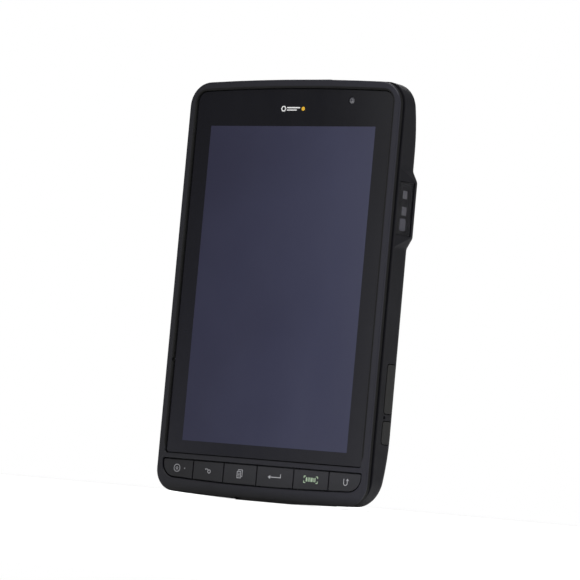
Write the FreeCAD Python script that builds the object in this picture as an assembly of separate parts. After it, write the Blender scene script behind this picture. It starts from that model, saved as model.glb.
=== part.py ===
"""Rugged handheld data collector, upright, screen towards -Y.

Everything is modelled about the centre of the screen: X to the right, Y from the front to the back
(0 at the front of the LCD panel) and Z up. place() then moves each piece so that the origin is at the
middle of the footprint that the device stands on. Millimetres.
"""
import FreeCAD, Part
import math
import os

V = FreeCAD.Vector

# ---- driving dimensions -------------------------------------------------------------------------
SCREEN_WIDTH = 94.2          # visible area of a 7 inch 16:10 panel
SCREEN_HEIGHT = 150.8

EDGE_BOW_RADIUS = 1100.0     # the top and bottom edges bow outwards on this radius
BEZEL_CORNERS = (10.5, 11.5)   # lower and upper corners
HOUSING_CORNERS = (13.0, 11.0)

BEZEL_HALF_WIDTH = 60.15
BEZEL_TOP = 97.5
BEZEL_BOTTOM = -101.0
BEZEL_FRONT = -2.3           # crest of the raised rim
BEZEL_BACK = 0.45            # visible side of the bezel ends here
BEZEL_SKIRT_BACK = 2.4       # the skirt that enters the housing ends here

HOUSING_HALF_WIDTH = 61.0
HOUSING_TOP = 97.9
HOUSING_BOTTOM = -100.8
HOUSING_FRONT = 1.15         # leaves the seam groove behind the bezel
HOUSING_BACK = 15.8
HOUSING_REAR_ROUND = 4.8
FACET_CREASE_ROUND = 40.0    # softens the line where a corner facet meets the flat back
SIDE_WALL = 2.0
BACK_WALL = 3.0
SKIRT_HALF_WIDTH = HOUSING_HALF_WIDTH - SIDE_WALL - 0.4
RIM_ROUND = 0.8
CHIN_RISE = 3.0              # the bezel slopes back below its keys: height and depth of the slope
CHIN_DROP = 1.2
CHIN_CREASE_ROUND = 4.0

# Each rear corner is cut by a slanted facet: where it starts up the side, where it starts across
# the end, and how deep it is at the corner of the outline.
UPPER_FACET = {"side_z": 70.0, "end_x": 38.0, "depth": 6.2}
LOWER_FACET = {"side_z": -71.0, "end_x": 37.0, "depth": 7.0}

GLASS_HALF_WIDTH = 55.85
GLASS_TOP = 93.2
GLASS_BOTTOM = -81.5
GLASS_FRONT = -1.27
GLASS_BACK = -0.17
GLASS_GAP = 0.3

SEAT_FLOOR = 0.03            # the glass's tape stands on it
DISPLAY_OPENING = ((-50.2, 50.2), (-79.6, 79.6))     # across and up
PRY_NOTCH = ((-57.0, -55.5), (-38.2, -36.5))         # nick in the rim's inner edge
PRY_NOTCH_DEPTH = 1.1
DOCK_NOTCH = ((-14.0, 37.0), -100.0)                 # across, and its top: relief over the dock

KEYPAD_HALF_WIDTH = 56.9
KEYPAD_TOP = -84.15
KEYPAD_BOTTOM = -94.55
KEYPAD_CORNER = 7.0
KEY_FACE = -1.8
KEY_GAP = 0.5
KEY_BACK = 3.1
KEY_TRAVEL = 0.5
KEY_EDGES = (-KEYPAD_HALF_WIDTH, -38.85, -21.0, -1.85, 19.1, 38.85, KEYPAD_HALF_WIDTH)
KEY_NAMES = ("key_home", "key_lock", "key_tasks", "key_enter", "key_scan", "key_back")

BUMP_REACH = 2.8             # how far the scanner bump stands out of the side wall
BUMP_SLOPE_END = 10.6        # the bump's face slopes out from the seam to here
BUMP_TILT = 17.4             # degrees, slope of that face and of the window in it
BUMP_FLAT = (25.3, 51.7)     # its flat crown, low and high
BUMP_RAMP = 5.0              # height of the slope at each end
WINDOW_Y = (1.8, 9.75)
WINDOW_Z = (26.2, 50.7)
WINDOW_DEPTH = 0.8           # seat below the window's outer face
WINDOW_RECESS = 0.2
WINDOW_SEAL = 0.2

FLAP_FRONT = 5.7
FLAP_BACK = 12.4
FLAP_THICKNESS = 1.6
FLAP_GAP = 0.4
FLAP_FRONT_GAP = 0.7         # wide enough for a fingernail
FLAP_CORNER = 1.4
HINGE_GAP = 0.2
PORT_POCKET_DEPTH = 3.0
PORT_BLOCK = ((55.4, 59.2), (4.2, 13.2), (-73.0, -31.0))    # solid plastic that the pockets are cut in
PIN_HOLE = ((5.5, 6.9), (-58.5, -57.2))                     # small opening between the flaps
LONG_FLAP_Z = (-56.0, -33.4)
SHORT_FLAP_Z = (-70.0, -59.6)

POWER_X = (3.9, 17.4)
POWER_Y = (3.2, 7.2)
VOLUME_Y = (4.6, 8.6)
VOLUME_UP_Z = (46.0, 59.0)
VOLUME_DOWN_Z = (31.0, 44.0)
SIDE_KEY_PROUD = 0.6
SIDE_KEY_TRAVEL = 0.5
SIDE_KEY_GAP = 0.15
SIDE_KEY_CORNER = 1.75
POWER_CAP_Z = (95.0, HOUSING_TOP + 0.45)

DOCK_X = (-16.0, 36.0)
DOCK_Y = (1.6, 12.4)
DOCK_PROUD = 0.4
DOCK_RISE = (8.0, 0.9)       # the foot rises from here on, by this much at its right end
DOCK_POCKET_DEPTH = 3.2
DOCK_BLOCK_X = (-4.0, 24.0)
DOCK_BLOCK_Y = (4.6, 9.4)
DOCK_BLOCK_Z = (-98.9, -96.4)
DOCK_PIN_PITCH = 3.2
DOCK_PIN_COUNT = 8

BATTERY_X = (-41.0, 41.0)
BATTERY_Y = (4.5, 12.6)
BATTERY_Z = (-62.0, 17.0)
COVER_X = (-46.0, 46.0)
COVER_Z = (-68.0, 23.0)
COVER_FRONT = 14.0
COVER_SEAT = 13.8
COVER_GAP = 0.25
COVER_CORNER = 4.0
LATCH_CENTRES = (-30.0, 30.0)
LATCH_WIDTH = 14.0
LATCH_Z = (-64.5, -57.0)
LATCH_Y = (14.5, 15.6)
LATCH_TRAVEL = 4.0
TONGUE_Z = (-70.2, -64.5)
TONGUE_Y = (14.6, 15.1)

FRONT_CAMERA = (32.5, 87.6)      # across and up
FRONT_BARREL_RADIUS = 3.1
FRONT_BARREL_FRONT = 0.3
FRONT_LENS_RADIUS = 1.65
FRONT_LENS_DOME = 0.45           # height of its curved front
REAR_CAMERA = (-30.0, 78.0)
FLASH = (-17.0, 78.0)
GRILLE_X = (-13.0, 13.0)
GRILLE_Z = (-88.0, -80.0)

LCD_HALF_WIDTH = 49.6
LCD_HALF_HEIGHT = 79.0
LCD_Y = (0.0, 1.5)
BACKLIGHT_Y = (1.5, 2.6)
FRAME_Y = (2.7, 3.9)             # metal mid frame
FRAME_Z = (-82.0, 93.2)
BOARD_Y = (5.2, 6.0)
RIBBON_Y = (4.0, 4.15)           # the display's ribbon lies behind the mid frame
BOARD_Z = (24.0, 92.0)

ENGINE_X = (44.0, 60.7)
ENGINE_Y = (4.8, 10.4)
ENGINE_Z = (27.0, 49.5)
SCAN_LAMP = ((5.95, 9.25), (43.1, 46.9))       # across (Y) and up (Z) on the imager's face
SCAN_AIMER = ((6.1, 9.7), (35.5, 39.5))
SCAN_LENS = ((5.3, 9.9), (28.3, 34.1))
OPTIC_PROUD = 0.25

SCREW_BOSS_RADIUS = 2.8
SCREW_HEAD_RADIUS = 2.1
SCREW_HEAD_SEAT = 14.0
SCREW_SHANK_RADIUS = 1.0
SCREW_SPOTS = ((-51.0, 73.0), (51.0, 73.0), (-51.0, 3.0), (51.0, 3.0), (-51.0, -75.0), (51.0, -75.0))

# ---- frame --------------------------------------------------------------------------------------
STANDING_LEVEL = HOUSING_BOTTOM - DOCK_PROUD
WIDEST_LEFT = -HOUSING_HALF_WIDTH - SIDE_KEY_PROUD
WIDEST_RIGHT = HOUSING_HALF_WIDTH + BUMP_REACH
ORIGIN = V((WIDEST_LEFT + WIDEST_RIGHT) / 2, (BEZEL_FRONT + HOUSING_BACK) / 2, STANDING_LEVEL)


def place(shape):
    """The piece in the device's own frame."""
    moved = shape.copy()
    moved.translate(-ORIGIN)
    return moved


# ---- shape helpers ------------------------------------------------------------------------------
def block(x, y, z):
    """Block between three (low, high) pairs."""
    return Part.makeBox(x[1] - x[0], y[1] - y[0], z[1] - z[0], V(x[0], y[0], z[0]))


def rod(start, radius, length, axis):
    """Cylinder from start along the unit vector axis."""
    return Part.makeCylinder(radius, length, start, axis)


def grown(span, by):
    """A (low, high) pair widened by the same amount at both ends."""
    return (span[0] - by, span[1] + by)


def middle(span):
    return (span[0] + span[1]) / 2


def runs_along(edge, axis):
    """True for a straight edge parallel to axis."""
    if not isinstance(edge.Curve, Part.Line):
        return False
    return edge.Curve.Direction.cross(axis).Length < 1e-6


def edges_along(shape, axis, keep=lambda point: True):
    return [e for e in shape.Edges if runs_along(e, axis) and keep(e.CenterOfMass)]


def edges_in_plane(shape, axis, level):
    """Edges whose points all lie where axis equals level."""
    found = []
    for edge in shape.Edges:
        if edge.Length < 1e-3:
            continue
        points = edge.discretize(5)
        if all(abs(p.dot(axis) - level) < 1e-4 for p in points):
            found.append(edge)
    return found


X_AXIS = V(1, 0, 0)
Y_AXIS = V(0, 1, 0)
Z_AXIS = V(0, 0, 1)


def soft_block(x, y, z, radius, axis=Y_AXIS):
    """Block whose four edges along axis are rounded."""
    solid = block(x, y, z)
    return solid.makeFillet(radius, edges_along(solid, axis))


def bow(half_width):
    """How far an edge of this half width falls away at its ends."""
    return EDGE_BOW_RADIUS - math.sqrt(EDGE_BOW_RADIUS ** 2 - half_width ** 2)


def panel(half_width, z, y, radii, bowed=(True, True)):
    """Plate in the X-Z plane with bowed lower and upper edges and rounded corners.

    z holds the lowest and highest point, on the centre line; radii the lower and upper corner radius.
    """
    fall = bow(half_width)
    low_side = z[0] + fall * bowed[0]
    high_side = z[1] - fall * bowed[1]
    low_left = V(-half_width, y[0], low_side)
    low_right = V(half_width, y[0], low_side)
    high_right = V(half_width, y[0], high_side)
    high_left = V(-half_width, y[0], high_side)
    low_edge = Part.makeLine(low_left, low_right)
    high_edge = Part.makeLine(high_right, high_left)
    if bowed[0]:
        low_edge = Part.Arc(low_left, V(0, y[0], z[0]), low_right).toShape()
    if bowed[1]:
        high_edge = Part.Arc(high_right, V(0, y[0], z[1]), high_left).toShape()
    right_edge = Part.makeLine(low_right, high_right)
    left_edge = Part.makeLine(high_left, low_left)
    wire = Part.Wire([low_edge, right_edge, high_edge, left_edge])
    solid = Part.Face(wire).extrude(V(0, y[1] - y[0], 0))
    split = (z[0] + z[1]) / 2
    for radius, below in ((radii[0], True), (radii[1], False)):
        corners = edges_along(solid, Y_AXIS, lambda p: (p.z < split) == below)
        solid = solid.makeFillet(radius, corners)
    return solid


def housing_panel(inset, y):
    """The housing's outline, inset all round."""
    return panel(
        HOUSING_HALF_WIDTH - inset,
        (HOUSING_BOTTOM + inset, HOUSING_TOP - inset),
        y,
        [radius - inset for radius in HOUSING_CORNERS],
    )


def bezel_panel(inset, y):
    """The bezel's outline, inset all round."""
    return panel(
        BEZEL_HALF_WIDTH - inset,
        (BEZEL_BOTTOM + inset, BEZEL_TOP - inset),
        y,
        [radius - inset for radius in BEZEL_CORNERS],
    )


def keypad_panel(inset, y):
    """The keypad's outline: straight top edge, bowed lower edge with large corners."""
    return panel(
        KEYPAD_HALF_WIDTH - inset,
        (KEYPAD_BOTTOM + inset, KEYPAD_TOP - inset),
        y,
        (KEYPAD_CORNER - inset, 0.8),
        (True, False),
    )


def glass_panel(inset, y):
    """The cover glass's outline: straight lower edge, bowed upper edge with rounded corners."""
    return panel(
        GLASS_HALF_WIDTH - inset,
        (GLASS_BOTTOM + inset, GLASS_TOP - inset),
        y,
        (1.2, 5.0 - inset),
        (False, True),
    )


def skirt_panel(y):
    """Outline of the bezel's skirt, which slips inside the housing's wall."""
    edge = HOUSING_HALF_WIDTH - SKIRT_HALF_WIDTH
    return housing_panel(edge, y)


# ---- front side ---------------------------------------------------------------------------------
def chin_slope():
    """Wedge that makes the bezel fall back below its keys."""
    crease = BEZEL_BOTTOM + CHIN_RISE
    low = BEZEL_BOTTOM - CHIN_RISE
    points = [
        V(-70, BEZEL_FRONT, crease),
        V(-70, BEZEL_FRONT + 2 * CHIN_DROP, low),
        V(-70, BEZEL_FRONT - 1, low),
        V(-70, BEZEL_FRONT - 1, crease),
    ]
    return Part.Face(Part.makePolygon(points + points[:1])).extrude(V(140, 0, 0))


def front_bezel():
    """Front shell: raised rim, glass seat, display opening, keypad opening and skirt."""
    rim = bezel_panel(0, (BEZEL_FRONT, BEZEL_BACK)).cut(chin_slope())
    rim = rim.makeFillet(CHIN_CREASE_ROUND, shared_edges(faces_towards(rim, -Y_AXIS), True))
    rim = rim.makeFillet(RIM_ROUND, shared_edges(faces_towards(rim, -Y_AXIS), False))
    shell = rim.fuse(skirt_panel((BEZEL_BACK - 0.4, BEZEL_SKIRT_BACK))).removeSplitter()
    glass_seat = glass_panel(-GLASS_GAP, (BEZEL_FRONT - 3, SEAT_FLOOR))
    display = soft_block(DISPLAY_OPENING[0], (-1, 5), DISPLAY_OPENING[1], 1.0)
    keypad = keypad_panel(0, (BEZEL_FRONT - 3, 5))
    shell = shell.cut(glass_seat).cut(display).cut(keypad)
    shell = shell.makeFillet(0.45, edges_in_plane(shell, Y_AXIS, BEZEL_FRONT))
    lens_hole = rod(V(FRONT_CAMERA[0], -1, FRONT_CAMERA[1]), FRONT_BARREL_RADIUS + 0.5, 5, Y_AXIS)
    notch_y = (BEZEL_FRONT - 1, BEZEL_FRONT + PRY_NOTCH_DEPTH)
    pry_notch = soft_block(PRY_NOTCH[0], notch_y, PRY_NOTCH[1], 0.4)
    relief_z = (BEZEL_BOTTOM - 1, DOCK_NOTCH[1])
    dock_notch = block(DOCK_NOTCH[0], (BEZEL_FRONT - 1, BEZEL_BACK + 0.1), relief_z)
    return shell.cut(lens_hole).cut(pry_notch).cut(dock_notch)


def cover_glass():
    glass = glass_panel(0, (GLASS_FRONT, GLASS_BACK))
    glass = glass.makeFillet(0.25, edges_in_plane(glass, Y_AXIS, GLASS_FRONT))
    x, z = FRONT_CAMERA
    return glass.cut(rod(V(x, GLASS_FRONT - 1, z), FRONT_LENS_RADIUS + 0.05, 4, Y_AXIS))


def glass_adhesive():
    """Tape ring that holds the glass to its seat."""
    ring = glass_panel(0.4, (GLASS_BACK, SEAT_FLOOR))
    inner = soft_block(grown(DISPLAY_OPENING[0], 0.8), (-1, 1), grown(DISPLAY_OPENING[1], 0.4), 1.0)
    lens_hole = rod(V(FRONT_CAMERA[0], -1, FRONT_CAMERA[1]), FRONT_BARREL_RADIUS + 0.7, 2, Y_AXIS)
    return ring.cut(inner).cut(lens_hole)


def optical_adhesive():
    across = (-SCREEN_WIDTH / 2, SCREEN_WIDTH / 2)
    return block(across, (GLASS_BACK, LCD_Y[0]), (-SCREEN_HEIGHT / 2, SCREEN_HEIGHT / 2))


def lcd_panel():
    return block((-LCD_HALF_WIDTH, LCD_HALF_WIDTH), LCD_Y, (-LCD_HALF_HEIGHT, LCD_HALF_HEIGHT))


def backlight_unit():
    """Light guide in a shallow tray."""
    width = (-LCD_HALF_WIDTH + 0.4, LCD_HALF_WIDTH - 0.4)
    height = (-LCD_HALF_HEIGHT + 0.4, LCD_HALF_HEIGHT - 0.4)
    tray = block(width, BACKLIGHT_Y, height)
    hollow_y = (BACKLIGHT_Y[1] - 0.4, BACKLIGHT_Y[1] + 0.4)
    return tray.cut(block(grown(width, -1.7), hollow_y, grown(height, -1.8)))


def mid_frame():
    """Metal plate that carries the display in front and the boards behind."""
    plate = panel(58.2, FRAME_Z, FRAME_Y, (1.0, 9.0), (False, True))
    for x, z in SCREW_SPOTS:
        plate = plate.cut(rod(V(x, 2, z), SCREW_SHANK_RADIUS + 0.05, 3, Y_AXIS))
    plate = plate.cut(rod(V(FRONT_CAMERA[0], 2, FRONT_CAMERA[1]), FRONT_BARREL_RADIUS + 0.5, 3, Y_AXIS))
    flex_slot = block((-11, 11), (2, 5), (-79.4, -77.0))
    return plate.cut(flex_slot)


def front_camera_module():
    x, z = FRONT_CAMERA
    barrel = rod(V(x, FRONT_BARREL_FRONT, z), FRONT_BARREL_RADIUS, 3.7, Y_AXIS)
    base = soft_block((x - 4.2, x + 4.2), (4.0, 5.1), (z - 4.2, z + 4.2), 0.6)
    return barrel.fuse(base).removeSplitter()


def front_camera_lens():
    """Domed lens that stands on the barrel and fills the hole in the glass."""
    x, z = FRONT_CAMERA
    crown = GLASS_FRONT + 0.07
    sphere = (FRONT_LENS_RADIUS**2 + FRONT_LENS_DOME**2) / (2 * FRONT_LENS_DOME)
    blank = rod(V(x, crown, z), FRONT_LENS_RADIUS, FRONT_BARREL_FRONT - crown, Y_AXIS)
    return blank.common(Part.makeSphere(sphere, V(x, crown + sphere, z)))


# ---- keypad -------------------------------------------------------------------------------------
def key_slab(index, gap, y):
    """Space between the two edges of one key."""
    low, high = KEY_EDGES[index], KEY_EDGES[index + 1]
    outer_ends = (index == 0, index == len(KEY_NAMES) - 1)
    low = low - 3 if outer_ends[0] else low + gap
    high = high + 3 if outer_ends[1] else high - gap
    return block((low, high), y, (KEYPAD_BOTTOM - 3, KEYPAD_TOP + 3))


def front_key(index):
    """Key cap that shows in the opening, with a flange behind the bezel that keeps it in."""
    flange_front = KEY_BACK - 0.6
    cap = keypad_panel(KEY_GAP, (KEY_FACE, flange_front)).common(key_slab(index, KEY_GAP / 2, (-5, 5)))
    cap = cap.makeFillet(0.3, edges_in_plane(cap, Y_AXIS, KEY_FACE))
    flange = keypad_panel(-0.6, (flange_front, KEY_BACK)).common(key_slab(index, KEY_GAP, (-5, 5)))
    return cap.fuse(flange).removeSplitter()


def key_middle(index):
    return (KEY_EDGES[index] + KEY_EDGES[index + 1]) / 2


def keypad_mat():
    """Silicone sheet with one dome behind each key."""
    mat = keypad_panel(0.4, (4.0, 4.6))
    for index in range(len(KEY_NAMES)):
        foot = V(key_middle(index), 4.1, (KEYPAD_TOP + KEYPAD_BOTTOM) / 2)
        dome = Part.makeCone(2.6, 1.8, 0.45, foot, -Y_AXIS)
        mat = mat.fuse(dome)
    return mat.removeSplitter()


def keypad_board():
    return keypad_panel(0.6, (4.6, 5.4))


# ---- rear housing -------------------------------------------------------------------------------
def side_bump():
    """Prism that swells out of the right wall around the scanner."""
    root = HOUSING_HALF_WIDTH - 4
    low, high = BUMP_FLAT
    corners = [
        V(root, HOUSING_FRONT, low - 2 * BUMP_RAMP),
        V(HOUSING_HALF_WIDTH, HOUSING_FRONT, low - BUMP_RAMP),
        V(WIDEST_RIGHT, HOUSING_FRONT, low),
        V(WIDEST_RIGHT, HOUSING_FRONT, high),
        V(HOUSING_HALF_WIDTH, HOUSING_FRONT, high + BUMP_RAMP),
        V(root, HOUSING_FRONT, high + 2 * BUMP_RAMP),
    ]
    face = Part.Face(Part.makePolygon(corners + corners[:1]))
    bump = face.extrude(V(0, HOUSING_BACK - HOUSING_FRONT, 0))
    in_front_of_face = block((WIDEST_RIGHT, WIDEST_RIGHT + 9), (-15, BUMP_SLOPE_END), (0, 80))
    return bump.cut(tilted(in_front_of_face))


def tilted(shape):
    """A shape drawn upright against the bump's crown, turned into the slope of its face."""
    turned = shape.copy()
    turned.rotate(V(WIDEST_RIGHT, BUMP_SLOPE_END, 0), Z_AXIS, -BUMP_TILT)
    return turned


def corner_facet(side, facet, sink):
    """Solid behind one corner facet, moved into the housing by sink."""
    end_z = math.copysign(HOUSING_TOP if facet["side_z"] > 0 else HOUSING_BOTTOM, facet["side_z"])
    beyond = 3.0
    run_z = end_z - facet["side_z"]
    run_x = HOUSING_HALF_WIDTH - facet["end_x"]
    back = HOUSING_BACK - sink

    def on_facet(x, z):
        share = (z - facet["side_z"]) / run_z + (x - HOUSING_HALF_WIDTH) / run_x
        return V(side * x, back - facet["depth"] * share, z)

    foot_x = facet["end_x"] - beyond * run_x
    foot_z = facet["side_z"] - beyond * run_z
    far_x = HOUSING_HALF_WIDTH + beyond * run_x
    far_z = end_z + beyond * run_z
    points = [on_facet(far_x, foot_z), on_facet(foot_x, far_z), on_facet(far_x, far_z)]
    face = Part.Face(Part.makePolygon(points + points[:1]))
    return face.extrude(V(0, 90, 0))


def corner_facets(sink=0.0):
    """The four solids that cut the rear corners."""
    return [corner_facet(side, facet, sink) for side in (-1, 1) for facet in (UPPER_FACET, LOWER_FACET)]


def faces_towards(form, direction):
    """Faces that look roughly along direction."""
    found = []
    for face in form.Faces:
        u_low, u_high, v_low, v_high = face.ParameterRange
        normal = face.normalAt((u_low + u_high) / 2, (v_low + v_high) / 2)
        if normal.dot(direction) > 0.7:
            found.append(face)
    return found


def shared_edges(faces, shared):
    """Edges that two of the faces share, or the ones that only one of them has."""
    groups = []
    for edge in (e for face in faces for e in face.Edges if e.Length > 1e-3):
        for group in groups:
            if group[0].isSame(edge):
                group.append(edge)
                break
        else:
            groups.append([edge])
    return [group[0] for group in groups if (len(group) > 1) == shared]


def housing_outside():
    """Closed outer form of the rear housing, scanner bump included."""
    form = housing_panel(0, (HOUSING_FRONT, HOUSING_BACK))
    form = form.cut(corner_facets())
    form = form.makeFillet(FACET_CREASE_ROUND, shared_edges(faces_towards(form, Y_AXIS), True))
    form = form.fuse(side_bump()).removeSplitter()
    ramps = edges_along(form, Y_AXIS, lambda p: p.x > HOUSING_HALF_WIDTH - 1 and 15 < p.z < 60)
    form = form.makeFillet(3.0, ramps)
    form = form.makeFillet(HOUSING_REAR_ROUND, shared_edges(faces_towards(form, Y_AXIS), False))
    form = form.makeFillet(0.4, edges_in_plane(form, Y_AXIS, HOUSING_FRONT))
    return form.Solids[0]


def screw_boss(x, z):
    return rod(V(x, FRAME_Y[1] + 0.2, z), SCREW_BOSS_RADIUS, HOUSING_BACK - BACK_WALL - 3.6, Y_AXIS)


def screw_bore(x, z):
    """Clearance hole with a wide seat for the screw head."""
    shaft = rod(V(x, 3, z), SCREW_SHANK_RADIUS + 0.15, HOUSING_BACK, Y_AXIS)
    return shaft.fuse(rod(V(x, SCREW_HEAD_SEAT, z), SCREW_HEAD_RADIUS + 0.4, 4, Y_AXIS))


def port_pocket(z):
    """Recess behind a port flap."""
    floor = HOUSING_HALF_WIDTH - PORT_POCKET_DEPTH
    depth = (FLAP_FRONT - FLAP_FRONT_GAP, FLAP_BACK + HINGE_GAP)
    return soft_block((floor, 70), depth, grown(z, FLAP_GAP), FLAP_CORNER + 0.3, X_AXIS)


def usb_opening():
    z = middle(SHORT_FLAP_Z)
    return soft_block((50, 60), (7.35, 10.75), (z - 4.55, z + 4.55), 1.6, X_AXIS)


def card_opening():
    z = middle(LONG_FLAP_Z)
    return block((40, 60), (7.9, 10.1), (z - 7.55, z + 7.55))


def back_openings():
    """Everything that is cut through the back wall."""
    bay = soft_block(grown(BATTERY_X, 0.8), (11, 17), grown(BATTERY_Z, 0.8), 2.0)
    seat = soft_block(grown(COVER_X, COVER_GAP), (COVER_SEAT, 17), grown(COVER_Z, COVER_GAP), COVER_CORNER)
    cuts = [bay, seat]
    for x in LATCH_CENTRES:
        cuts.append(block((x - 4.2, x + 4.2), grown(TONGUE_Y, 0.1), (TONGUE_Z[0] - 0.3, COVER_Z[0] + 1)))
    for (x, z), window, hole in ((REAR_CAMERA, 5.4, 4.4), (FLASH, 2.6, 1.9)):
        cuts.append(rod(V(x, 14.8, z), window, 3, Y_AXIS))
        cuts.append(rod(V(x, 11, z), hole, 6, Y_AXIS))
    cuts.append(soft_block(grown(GRILLE_X, 0.1), (15.0, 17), grown(GRILLE_Z, 0.1), 2.0))
    cuts.append(soft_block(grown(GRILLE_X, -1.6), (11, 17), grown(GRILLE_Z, -1.6), 1.0))
    return cuts


def side_openings():
    """Scanner opening and window seat, port pockets, key slots and the dock opening."""
    seat_floor = WIDEST_RIGHT - WINDOW_RECESS - WINDOW_DEPTH
    window_back = (WINDOW_Y[0] - 0.2, WINDOW_Y[1] + 1.0)
    cuts = [
        tilted(soft_block((seat_floor, 70), window_back, grown(WINDOW_Z, 0.25), 0.3, X_AXIS)),
        block((56, 70), grown(ENGINE_Y, 0.15), grown(ENGINE_Z, 0.15)),
        port_pocket(LONG_FLAP_Z),
        port_pocket(SHORT_FLAP_Z),
        usb_opening(),
        card_opening(),
        block((HOUSING_HALF_WIDTH - 1.2, 70), *PIN_HOLE),
        soft_block(POWER_X, POWER_Y, (90, 110), SIDE_KEY_CORNER + SIDE_KEY_GAP, Z_AXIS),
        block(grown(DOCK_X, 0.15), (0, DOCK_Y[1] + 0.15), (-110, -98.0)),
    ]
    for z in (VOLUME_UP_Z, VOLUME_DOWN_Z):
        cuts.append(soft_block((-70, -57.5), VOLUME_Y, z, SIDE_KEY_CORNER + SIDE_KEY_GAP, X_AXIS))
    return cuts


def rear_housing():
    """Rear shell with its bosses, port block and openings."""
    cavity = housing_panel(SIDE_WALL, (HOUSING_FRONT - 1, HOUSING_BACK - BACK_WALL))
    cavity = cavity.cut(corner_facets(BACK_WALL))
    cavity = cavity.makeFillet(FACET_CREASE_ROUND, shared_edges(faces_towards(cavity, Y_AXIS), True))
    cavity = cavity.makeFillet(3.0, shared_edges(faces_towards(cavity, Y_AXIS), False))
    shell = housing_outside().cut(cavity)
    shell = shell.fuse(block(*PORT_BLOCK))
    shell = shell.fuse([screw_boss(x, z) for x, z in SCREW_SPOTS])
    shell = shell.cut(side_openings()).cut(back_openings())
    shell = shell.cut([screw_bore(x, z) for x, z in SCREW_SPOTS])
    return shell.removeSplitter()


def perimeter_seal():
    """Rubber ring squeezed between the bezel and the housing, set back to leave a groove."""
    ring = bezel_panel(0.75, (BEZEL_BACK, HOUSING_FRONT))
    return ring.cut(skirt_panel((BEZEL_BACK - 1, HOUSING_FRONT + 1)))


def housing_screws():
    """Six recessed screws through the back, one solid each."""
    screws = []
    for x, z in SCREW_SPOTS:
        head = rod(V(x, SCREW_HEAD_SEAT + 0.05, z), SCREW_HEAD_RADIUS, 1.2, Y_AXIS)
        socket = Part.Face(Part.makePolygon(hexagon(x, 14.6, z, 1.0))).extrude(V(0, 2, 0))
        shank = rod(V(x, 2.8, z), SCREW_SHANK_RADIUS, 11.5, Y_AXIS)
        screws.append(head.fuse(shank).cut(socket))
    return Part.makeCompound(screws)


def hexagon(x, y, z, radius):
    """Closed point list of a hexagon facing along Y."""
    turns = [math.radians(60 * step) for step in range(7)]
    return [V(x + radius * math.cos(turn), y, z + radius * math.sin(turn)) for turn in turns]


# ---- battery ------------------------------------------------------------------------------------
def battery_pack():
    return soft_block(BATTERY_X, BATTERY_Y, BATTERY_Z, 2.0)


def battery_contacts():
    """Spring contact block at the head of the battery bay."""
    base = block((-12, 12), (6.4, 10.4), (BATTERY_Z[1] + 1.0, BATTERY_Z[1] + 5.0))
    blade_z = (BATTERY_Z[1] + 0.1, BATTERY_Z[1] + 1.2)
    blades = [block((x - 0.8, x + 0.8), (7.4, 9.4), blade_z) for x in (-8, -4, 0, 4, 8)]
    return base.fuse(blades).removeSplitter()


def battery_cover():
    """Lid over the battery bay, with shallow grip grooves and a seat for each latch."""
    lid = soft_block(COVER_X, (COVER_FRONT, HOUSING_BACK), COVER_Z, COVER_CORNER - COVER_GAP)
    lid = lid.makeFillet(0.4, edges_in_plane(lid, Y_AXIS, HOUSING_BACK))
    for x in LATCH_CENTRES:
        seat_x = (x - LATCH_WIDTH / 2 - 0.2, x + LATCH_WIDTH / 2 + 0.2)
        seat_z = (LATCH_Z[0] - 0.2, LATCH_Z[1] + LATCH_TRAVEL + 0.2)
        lid = lid.cut(soft_block(seat_x, (LATCH_Y[0] - 0.05, 17), seat_z, 1.0))
        lid = lid.cut(block((x - 4.2, x + 4.2), grown(TONGUE_Y, 0.1), (COVER_Z[0] - 1, LATCH_Z[0])))
    for step in range(5):
        z = -34 + 9 * step
        lid = lid.cut(soft_block((-34, 34), (HOUSING_BACK - 0.5, 17), (z, z + 2.2), 1.0))
    return lid


def battery_seal():
    """Flat gasket on the ledge under the lid."""
    ring = soft_block(grown(COVER_X, -0.6), (COVER_SEAT, COVER_FRONT), grown(COVER_Z, -0.6), 3.0)
    hole = soft_block(grown(BATTERY_X, 1.2), (10, 17), (BATTERY_Z[0] - 1.2, BATTERY_Z[1] + 3.0), 2.0)
    return ring.cut(hole)


def battery_latch(x):
    """Sliding latch: ribbed thumb plate and the tongue that locks the lid's lower edge."""
    plate = soft_block((x - LATCH_WIDTH / 2, x + LATCH_WIDTH / 2), LATCH_Y, LATCH_Z, 0.8)
    tongue = block((x - 4, x + 4), TONGUE_Y, (TONGUE_Z[0], TONGUE_Z[1] + 1))
    latch = plate.fuse(tongue)
    for step in range(4):
        z = LATCH_Z[0] + 1.2 + 1.5 * step
        latch = latch.cut(block((x - 5.5, x + 5.5), (LATCH_Y[1] - 0.35, 17), (z, z + 0.7)))
    return latch.removeSplitter()


# ---- scanner ------------------------------------------------------------------------------------
def scan_window():
    outer = WIDEST_RIGHT - WINDOW_RECESS
    inner = outer - WINDOW_DEPTH + WINDOW_SEAL
    return tilted(soft_block((inner, outer), WINDOW_Y, WINDOW_Z, 0.25, X_AXIS))


def window_seal():
    floor = WIDEST_RIGHT - WINDOW_RECESS - WINDOW_DEPTH
    ring = tilted(block((floor, floor + WINDOW_SEAL), WINDOW_Y, WINDOW_Z))
    return ring.cut(block((50, 70), (ENGINE_Y[0] - 0.2, 12), grown(ENGINE_Z, 0.2)))


def scan_engine_body():
    """Black imager block with seats for its lamp, aimer and lens."""
    body = soft_block(ENGINE_X, ENGINE_Y, ENGINE_Z, 0.4, X_AXIS)
    for y, z in (SCAN_LAMP, SCAN_AIMER, SCAN_LENS):
        body = body.cut(block((ENGINE_X[1] - 0.4, 70), y, z))
    return body


def scan_optic(spans, radius):
    """Flat optic set into the face of the imager."""
    return soft_block((ENGINE_X[1] - 0.4, ENGINE_X[1] + OPTIC_PROUD), grown(spans[0], -0.05),
                      grown(spans[1], -0.05), radius, X_AXIS)


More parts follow.
